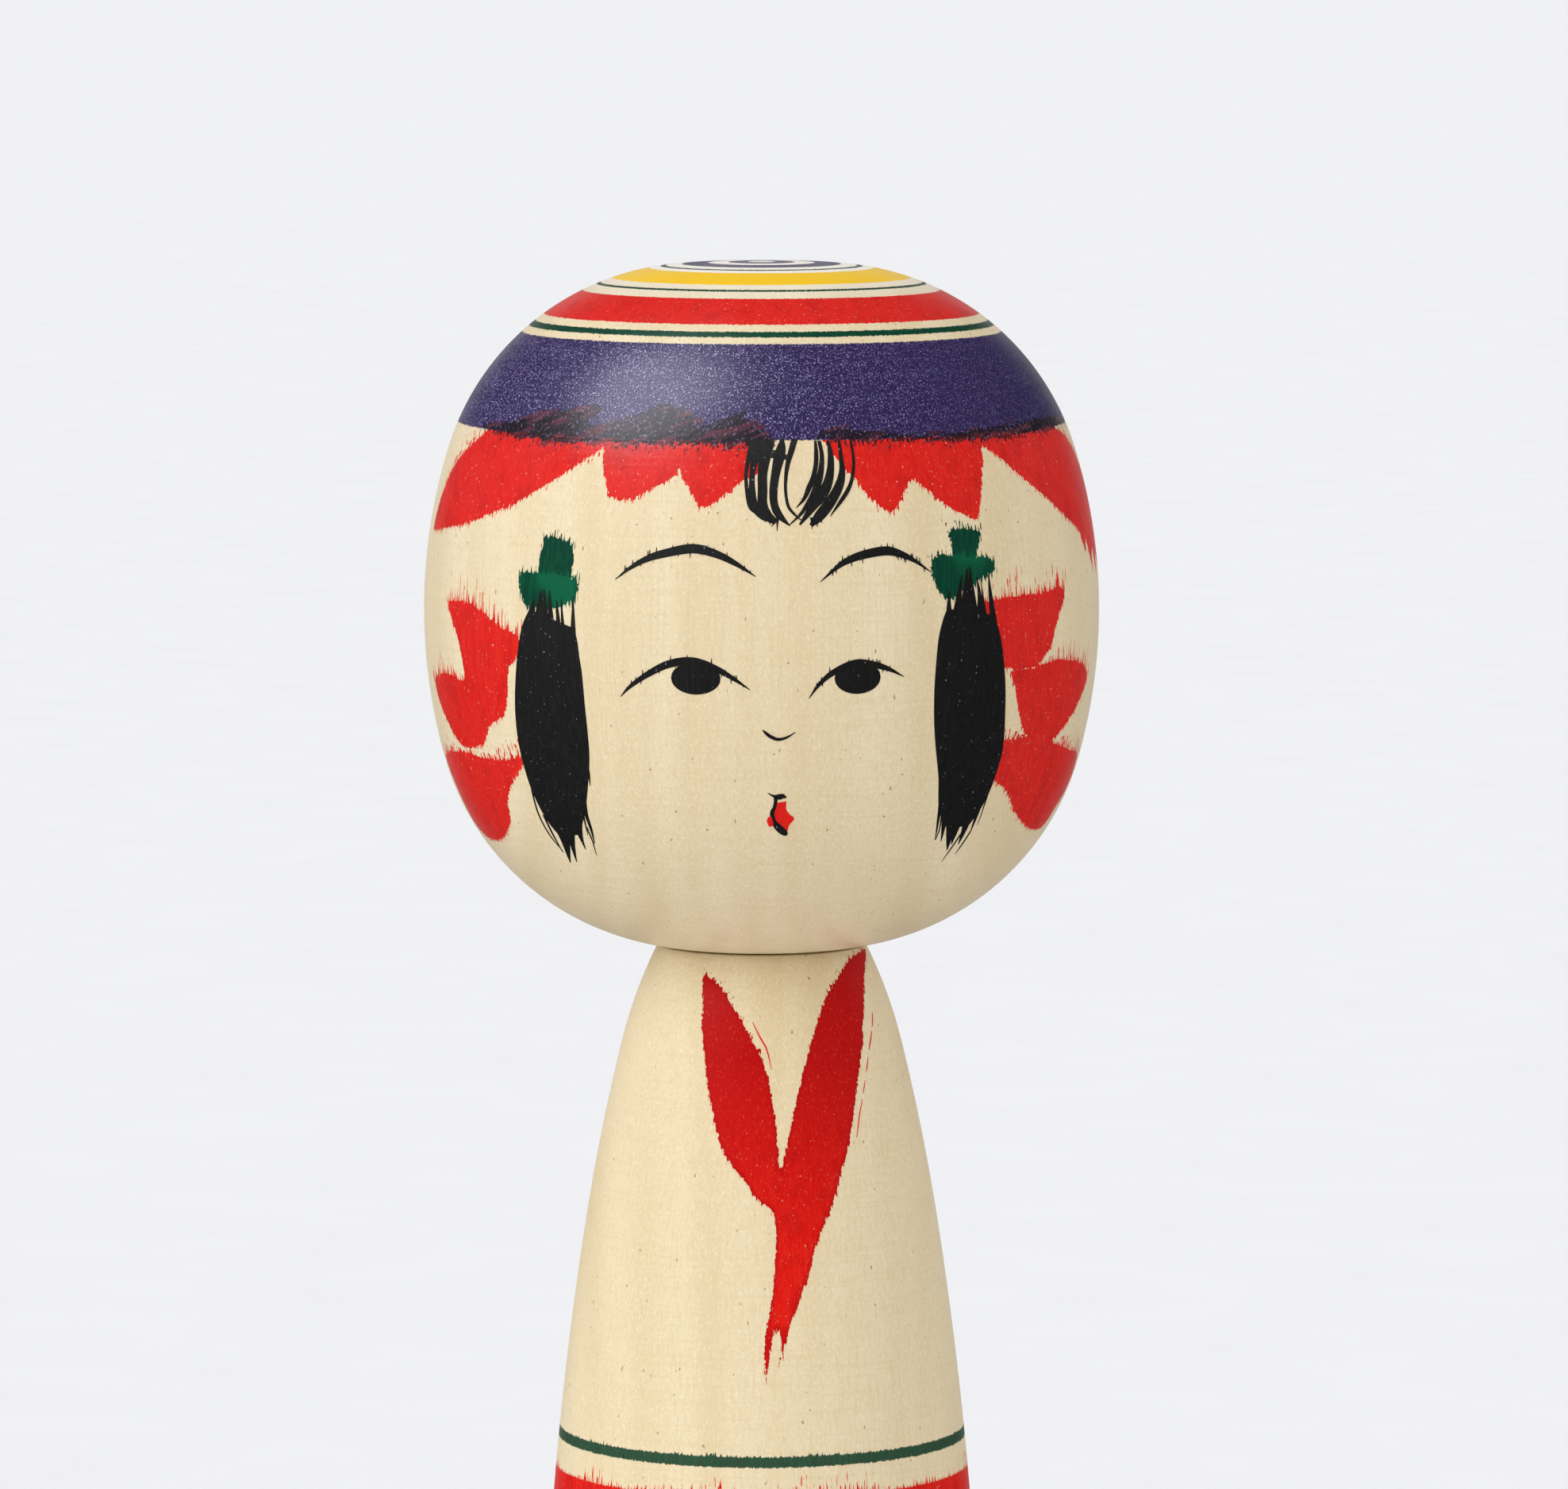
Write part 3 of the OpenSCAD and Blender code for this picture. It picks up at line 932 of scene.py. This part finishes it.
FORELOCK = (
    ((-1.4, 60.9, 0.4), (-2.1, 59.1, 0.28), (-2.6, 57.2, 0.2), (-2.4, 55.4, 0.24), (-1.7, 53.6, 0.34),
     (-0.6, 52.8, 0.2)),
    ((-0.6, 60.9, 0.7), (-1, 59.2, 0.5), (-1.5, 57.2, 0.32), (-1.5, 55.4, 0.36), (-1.1, 53.6, 0.46),
     (0.3, 52.5, 0.42), (1.7, 52, 0.24)),
    ((1.1, 60.9, 0.9), (0.7, 59.1, 0.7), (0.3, 57.2, 0.55), (0.3, 55.4, 0.55), (0.3, 53.8, 0.55),
     (1, 52.6, 0.6), (2.6, 51.8, 0.3)),
    ((3.9, 61, 0.18), (3.7, 60.1, 0.5), (3.3, 59.1, 0.62), (2.6, 57.2, 0.5), (2.2, 55.4, 0.47),
     (2.3, 53.8, 0.44), (3.1, 52.6, 0.42), (4.9, 51.4, 0.06)),
    ((6.2, 61, 0.35), (5.5, 59.7, 0.34), (4.8, 58.3, 0.27), (4.4, 56.8, 0.2), (4.3, 55.2, 0.17),
     (4.7, 53.6, 0.17), (5.7, 52.7, 0.14), (6.9, 52, 0.05)),
    ((2, 59.4, 0.5), (4.6, 59, 0.3)),
    ((10, 60.8, 0.13), (10, 59.4, 0.24), (9.8, 58.1, 0.26), (9.2, 56.7, 0.28), (8.4, 55.6, 0.3),
     (7.5, 54.4, 0.2), (6.1, 53.4, 0.04)),
    ((10.7, 60.8, 0.2), (11, 59.2, 0.24), (10.7, 57.6, 0.33), (10.1, 56.3, 0.42), (9.2, 54.9, 0.38),
     (7.9, 53.6, 0.27), (6.7, 52.6, 0.17), (4.7, 51.4, 0.04)),
    ((12.4, 60.8, 0.14), (12.6, 59.2, 0.32), (12.4, 57.6, 0.42), (11.7, 56, 0.55), (10.5, 54.7, 0.62),
     (9, 53.5, 0.44), (7.8, 52.5, 0.3), (6.6, 51.5, 0.1)),
    ((14.4, 60.8, 0.14), (14.5, 58.9, 0.24), (14.5, 57.4, 0.35), (13.9, 56, 0.5), (12.8, 54.7, 0.56),
     (11.3, 53.4, 0.62), (9.8, 52.3, 0.56), (8.5, 51.4, 0.2)),
    ((16.6, 60.7, 0.14), (16.8, 59.1, 0.15), (16.6, 57.6, 0.17), (16, 56.2, 0.2), (15.1, 55.1, 0.24),
     (13.7, 53.9, 0.2), (11.9, 52.4, 0.03)),
)
FORELOCK_TIPS = (
    (0.5, 52.3), (1.4, 52), (2.2, 51.9), (2.9, 51.8), (8.7, 51.8), (9.6, 51.9), (10.2, 52.2), (10.9, 52.6),
)

# Each side lock: its left and right edges, from the ribbon down, then its tufts below and above.
LOCKS = {
    "left": (
        (
            (-42, 41.2), (-43.6, 39.2), (-44.7, 36.3), (-45.6, 33), (-46.4, 29.4), (-46.7, 25.8),
            (-46.4, 23), (-45.6, 19.8), (-44, 16.6), (-42.2, 14.8),
        ),
        (
            (-32.6, 39.4), (-31.9, 38), (-31.5, 36), (-31.1, 34.1), (-30.9, 30.8), (-30.8, 27.5),
            (-31, 24.6), (-32, 21.6), (-33.6, 18.6), (-36.6, 15.2),
        ),
        (
            ((-41.2, 16.6, 1.1), (-41.3, 14.2, 0.67), (-42.8, 11.5, 0.05)),
            ((-38.8, 16.6, 1.1), (-39.4, 14.6, 0.5), (-40.8, 11.7, 0.05)),
            ((-36.6, 17, 0.9), (-36.8, 15.1, 0.35), (-36.8, 13.4, 0.05)),
            ((-33.9, 19.6, 0.54), (-33.9, 17.7, 0.27), (-33.7, 15.9, 0.17), (-34, 14.2, 0.04)),
            ((-31.9, 24, 0.3), (-31.6, 22.5, 0.16), (-31.7, 21.2, 0.03)),
            ((-45.7, 20.2, 0.12), (-45.8, 17.1, 0.12), (-44.8, 14.6, 0.1), (-43.2, 12.9, 0.03)),
            ((-44.5, 17.2, 0.16), (-43.8, 14.4, 0.13), (-43.4, 12.7, 0.03)),
            ((-34.6, 19, 0.13), (-34.6, 17.3, 0.13), (-34.9, 15.2, 0.03)),
            ((-34.6, 16.2, 0.1), (-34.3, 14.5, 0.08), (-34.6, 12.8, 0.03)),
            ((-41.6, 38.1, 0.97), (-41.5, 40, 0.67), (-41.1, 42.4, 0.08)),
            ((-40.1, 38.1, 0.87), (-39.9, 40.6, 0.55), (-39.5, 43.4, 0.08)),
            ((-38.6, 38.2, 0.71), (-38.6, 40.6, 0.5), (-38.9, 43.6, 0.07)),
            ((-37.1, 38.1, 0.7), (-37.3, 40.4, 0.42), (-37.7, 43.5, 0.06)),
            ((-35.6, 37.9, 0.6), (-35.7, 39.9, 0.32), (-36.1, 42.4, 0.06)),
            ((-34.5, 37, 0.42), (-34.8, 39.8, 0.22), (-35.2, 42.6, 0.05)),
            ((-32.7, 37.4, 0.46), (-32.7, 40, 0.28), (-32.8, 43, 0.05)),
        ),
    ),
    "right": (
        (
            (32.4, 41.6), (31.5, 40.2), (30.7, 38.2), (30.3, 35.2), (30.2, 32), (30.6, 28.6),
            (31.4, 25.7), (32.8, 22.2), (34, 18.8), (36.4, 16.2),
        ),
        (
            (41.6, 40.6), (43, 39.4), (43.9, 37.6), (44.6, 35.4), (45.4, 32.4), (46, 29.2),
            (46.7, 25.2), (46.3, 22.4), (45, 18.8), (42.6, 15.9),
        ),
        (
            ((34.2, 19.6, 0.3), (34.8, 16.8, 0.16), (35.5, 14.6, 0.03)),
            ((36, 17.9, 0.5), (36.5, 16.1, 0.28), (37.1, 14.4, 0.05)),
            ((37.6, 17.6, 0.84), (38.8, 14.9, 0.46), (39.6, 13.2, 0.05)),
            ((39.4, 17.6, 0.86), (39.8, 15.4, 0.4), (40.1, 13.9, 0.05)),
            ((41.8, 17.4, 0.75), (42, 15.5, 0.4), (42, 13.8, 0.05)),
            ((41.6, 15.2, 0.12), (40.6, 13.5, 0.1), (39.6, 11.8, 0.03)),
            ((43.9, 15.3, 0.1), (43.1, 13.8, 0.1), (42.4, 12.6, 0.03)),
            ((43.9, 19.3, 0.5), (43.9, 17.2, 0.27), (43.9, 15.2, 0.05)),
            ((45.5, 21.6, 0.16), (45.2, 19, 0.1), (45.1, 16, 0.03)),
            ((35.2, 17.6, 0.1), (35.7, 15.9, 0.08), (35.6, 14.6, 0.03)),
            ((32.8, 40.4, 0.5), (32.8, 42, 0.28), (33, 43.7, 0.06)),
            ((34.2, 40.4, 0.66), (34.9, 43, 0.34), (35.7, 45.3, 0.06)),
            ((35.9, 40.6, 0.8), (36.4, 43.6, 0.46), (36.8, 46, 0.06)),
            ((37.6, 40.6, 0.8), (37.5, 43.6, 0.4), (37.4, 46.2, 0.06)),
            ((39.2, 40.2, 0.6), (39.2, 42.9, 0.28), (38.7, 45, 0.05)),
            ((40.4, 39.6, 0.42), (39.9, 42.6, 0.13), (39.6, 44.6, 0.03)),
            ((42.2, 39.4, 0.55), (41.6, 42.8, 0.28), (41.4, 45.2, 0.05)),
        ),
    ),
}

class DOLL_OT_turn_head(bpy.types.Operator):
    """Turns the head with its tenon and dyes it"""

    bl_idname = "doll.turn_head"
    bl_label = "Turn the Head"

    def execute(self, context):
        turning, paint, colours = settings(context)
        surface = head_outline(turning)
        rows = [tuple(row) for row in surface.rows]
        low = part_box("head")[0].z
        radius, bevel = turning.tenon_radius, turning.tenon_bevel
        tenon = [(radius, rows[-1][1]), (radius, low + bevel), (radius - bevel, low), (0.0, low)]
        add_straights(rows, tenon, COARSE * turning.row)
        bm = turn_on_lathe(rows)
        piece = keep("head_turned", bm, HEAD_BODY, head_material(colours, paint), "head")
        for name, shapes in (
            ("red", RED_PETALS + RED_DABS),
            ("green", GREEN_KNOTS),
            ("lobe", GREEN_LOBES),
            ("wash", HAIR_WASH),
        ):
            paint_field(piece, name, shapes, surface, brush_level(paint))
        return {"FINISHED"}


class DOLL_OT_turn_body(bpy.types.Operator):
    """Turns the body with its socket and foot and dyes it"""

    bl_idname = "doll.turn_body"
    bl_label = "Turn the Body"

    def execute(self, context):
        turning, paint, colours = settings(context)
        surface = body_outline(turning)
        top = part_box("body")[1].z
        coarse = COARSE * turning.row
        deep = top - turning.socket_depth
        radius, bevel = turning.socket_radius, turning.socket_bevel
        shoulder, edge = turning.shoulder_top, turning.seam_round
        rows = [(0.0, deep, 0.0)]
        socket = [(radius, deep), (radius, top - bevel), (radius + bevel, top), (shoulder - edge, top)]
        add_straights(rows, socket, coarse)
        add_straights(rows, [(shoulder - 0.25 * edge, top - 0.25 * edge)], edge)
        rows = [(r, z, -1.0 * MM) for r, z, _ in rows]
        rows += [tuple(row) for row in surface.rows[1:]]
        underside = [
            (rows[-1][0] - turning.foot_bevel, 0.0),
            (turning.hollow_radius + turning.hollow_depth, 0.0),
            (turning.hollow_radius, turning.hollow_depth),
        ]
        add_straights(rows, underside, coarse)
        bm = turn_on_lathe(rows)
        cut_claw_marks(bm, turning)
        piece = keep("body_turned", bm, FOOT_BODY, body_material(colours, paint), "body")
        paint_field(piece, "collar", COLLAR, surface, top)
        return {"FINISHED"}


def brush_level(paint):
    """Height at which the head's brushwork counts from zero."""
    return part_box("head")[1].z - paint.brush_drop


class DOLL_OT_brush_face(bpy.types.Operator):
    """Brushes the brows, eyes, nose and mouth"""

    bl_idname = "doll.brush_face"
    bl_label = "Brush the Face"

    def execute(self, context):
        turning, paint, colours = settings(context)
        surface, level, film = head_outline(turning), brush_level(paint), paint.ink_film
        rng = random.Random(paint.seed)
        bm = bmesh.new()
        pupils = [oval(*numbers) for numbers in PUPILS]
        for stroke in [*BROWS, *LIDS, *pupils, *NOSE_AND_MOUTH]:
            brush_line(bm, surface, level, stroke, 1.6 * film, across=6)
        for stroke in BROWS + LIDS:
            for hair in bled_hairs(rng, stroke, chance=0.5, reach=0.6):
                brush_line(bm, surface, level, hair, 1.4 * film, across=1, steps=2)
        thicken(bm, 2 * film)
        keep("face_ink", bm, HEAD_BODY, ink_material(colours))
        bm = bmesh.new()
        for left, right in LIPS:
            brush_mass(bm, surface, level, left, right, film, across=4, steps=5)
        thicken(bm, 2 * film)
        keep("lip_dye", bm, HEAD_BODY, lip_material(colours))
        return {"FINISHED"}


class DOLL_OT_brush_hair(bpy.types.Operator):
    """Brushes the forelock and the two side locks"""

    bl_idname = "doll.brush_hair"
    bl_label = "Brush the Hair"

    def execute(self, context):
        turning, paint, colours = settings(context)
        surface, level, film = head_outline(turning), brush_level(paint), paint.ink_film
        rng = random.Random(paint.seed)
        ink = bpy.data.materials.get("soot_ink") or ink_material(colours)
        bm = bmesh.new()
        for number, stroke in enumerate(FORELOCK):  # each stroke lies a little over the last
            brush_line(bm, surface, level, stroke, film * (1 + 0.1 * number))
        for angle, height in FORELOCK_TIPS:
            drop = rng.uniform(0.4, 1.0)
            lean = rng.uniform(-0.3, 0.3)
            root, middle = (angle, height + 0.5, 0.2), (angle + lean / 2, height, 0.12)
            tip = (angle + lean, height - drop, 0.02)
            brush_line(bm, surface, level, (root, middle, tip), film * 2)
        thicken(bm, 2 * film)
        keep("forelock_ink", bm, HEAD_BODY, ink)
        for side, (left, right, tufts) in LOCKS.items():
            bm = bmesh.new()
            brush_mass(bm, surface, level, left, right, 1.5 * film)
            for number, tuft in enumerate(tufts):
                brush_line(bm, surface, level, tuft, film * (1 + 0.02 * number), steps=4)
            thicken(bm, 2 * film)
            keep(f"side_lock_{side}_ink", bm, HEAD_BODY, ink)
        return {"FINISHED"}


class DOLL_OT_brush_strays(bpy.types.Operator):
    """Brushes the fine red strays beside the collar"""

    bl_idname = "doll.brush_strays"
    bl_label = "Brush the Strays"

    def execute(self, context):
        turning, paint, colours = settings(context)
        surface = body_outline(turning)
        red = bpy.data.materials.get("brushed_red_dye") or lip_material(colours)
        bm = bmesh.new()
        for stroke in STRAYS:
            brush_line(bm, surface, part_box("body")[1].z, stroke, paint.ink_film, across=2)
        thicken(bm, 2 * paint.ink_film)
        keep("collar_strays", bm, FOOT_BODY, red)
        return {"FINISHED"}


# ---------------------------------------------------------------- stage

PAPER_RADIUS = 18  # metres, far enough for the paper to fill the view
UNDER_FOOT = -0.05 * MM  # the paper lies just under the foot, clear of its rim
AIR = 0.76  # strength of the white air that lights the doll
SEEN_AIR = 0.87  # strength of the same air where it is seen
SCREEN = 0.6  # strength of the lit screen at the back, as the gloss mirrors it
DIM = 0.05  # strength of everything else that the gloss mirrors
WHITE, COOL = (0.97, 0.99, 1.04), (0.90, 0.97, 1.2)
LAMPS = (  # name, where it stands, spread in degrees, strength, tint, and whether it gives light or gloss
    ("key_softbox", (-0.56, -0.62, 0.53), 50, 1.43, WHITE, True),
    ("sheen_softbox", (-0.52, -0.24, 0.82), 46, 4.7, WHITE, False),
    ("left_rim_softbox", (-0.66, 0.72, 0.2), 60, 0.7, COOL, True),
    ("right_rim_softbox", (0.66, 0.72, 0.2), 60, 0.74, COOL, True),
)
CAMERA_PLACE = (2.62 * MM, -1.102, 0.29539)
CAMERA_DIP = math.radians(5.7)  # how far the camera looks down
LENS, SENSOR = 216.9, 36


class DOLL_OT_set_stage(bpy.types.Operator):
    """Lays the paper and sets the soft lights and the camera"""

    bl_idname = "doll.set_stage"
    bl_label = "Set the Stage"

    def execute(self, context):
        _, _, colours = settings(context)
        self.lay_paper(context.scene, colours)
        self.light(context.scene)
        self.place_camera(context.scene)
        return {"FINISHED"}

    def lay_paper(self, scene, colours):
        """A wide round of pale paper, which fills the view."""
        bm = bmesh.new()
        place = Matrix.Translation((0, 0, UNDER_FOOT))
        bmesh.ops.create_circle(bm, cap_ends=True, segments=96, radius=PAPER_RADIUS, matrix=place)
        mesh = bpy.data.meshes.new("studio_floor")
        bm.to_mesh(mesh)
        bm.free()
        mesh.materials.append(paper_material(colours))
        paper = bpy.data.objects.new("studio_floor", mesh)
        scene.collection.objects.link(paper)
        paper.visible_glossy = False  # black flags keep the floor's glare off the dyes

    def light(self, scene):
        """White air all round, a broad soft key from the upper left, an overhead lamp that gives
        the sheen, and two cool lamps behind that light the edges."""
        world = bpy.data.worlds.new("studio_air")
        world.use_nodes = True
        tree = world.node_tree
        tree.nodes.clear()
        seen = put(tree, "LightPath", output="Is Camera Ray")
        mirrored = put(tree, "LightPath", output="Is Glossy Ray")
        way = put(tree, "SeparateXYZ", put(tree, "TexCoord", output="Generated"), output="Y")
        strength = put(tree, "Math", seen, SEEN_AIR - AIR, AIR, operation="MULTIPLY_ADD")
        screen = put(tree, "MapRange", way, 0.85, 1.0, DIM - AIR, SCREEN - AIR)
        strength = put(tree, "Math", mirrored, screen, strength, operation="MULTIPLY_ADD")
        put(tree, "OutputWorld", put(tree, "Background", (1.0, 0.99, 0.965), strength))
        scene.world = world
        for name, place, spread, power, tint, diffuse in LAMPS:
            lamp = bpy.data.lights.new(name, "SUN")
            lamp.angle = math.radians(spread)
            lamp.energy = power
            lamp.color = tint
            item = bpy.data.objects.new(name, lamp)
            item.visible_diffuse = diffuse
            item.visible_glossy = not diffuse  # the broad lamps stand behind polarising film
            item.location = place
            item.rotation_euler = Vector(place).to_track_quat("Z", "Y").to_euler()
            scene.collection.objects.link(item)
        scene.view_settings.view_transform = "Standard"

    def place_camera(self, scene):
        lens = bpy.data.cameras.new("long_lens")
        lens.lens = LENS
        lens.sensor_width = SENSOR
        lens.clip_end = 60
        camera = bpy.data.objects.new("camera", lens)
        camera.location = CAMERA_PLACE
        camera.rotation_euler = (math.pi / 2 - CAMERA_DIP, 0, 0)
        scene.collection.objects.link(camera)
        scene.camera = camera


class DOLL_PT_sidebar(bpy.types.Panel):
    """Lists the steps of making the doll"""

    bl_label = "Kokeshi Doll"
    bl_space_type = "VIEW_3D"
    bl_region_type = "UI"
    bl_category = "Doll"

    def draw(self, context):
        for operator in OPERATORS:
            self.layout.operator(operator.bl_idname)


OPERATORS = (
    DOLL_OT_turn_body,
    DOLL_OT_turn_head,
    DOLL_OT_brush_face,
    DOLL_OT_brush_hair,
    DOLL_OT_brush_strays,
    DOLL_OT_set_stage,
)
GROUPS = {"doll_turning": DollTurning, "doll_paint": DollPaint, "doll_colours": DollColours}
CLASSES = (*GROUPS.values(), *OPERATORS, DOLL_PT_sidebar)


def settings(context):
    scene = context.scene
    return scene.doll_turning, scene.doll_paint, scene.doll_colours


def register():
    for item in CLASSES:
        bpy.utils.register_class(item)
    for name, group in GROUPS.items():
        setattr(bpy.types.Scene, name, PointerProperty(type=group))


def unregister():
    for name in GROUPS:
        delattr(bpy.types.Scene, name)
    for item in reversed(CLASSES):
        bpy.utils.unregister_class(item)


def main():
    register()
    for operator in OPERATORS:
        group, name = operator.bl_idname.split(".")
        getattr(getattr(bpy.ops, group), name)()


if __name__ == "__main__":
    main()
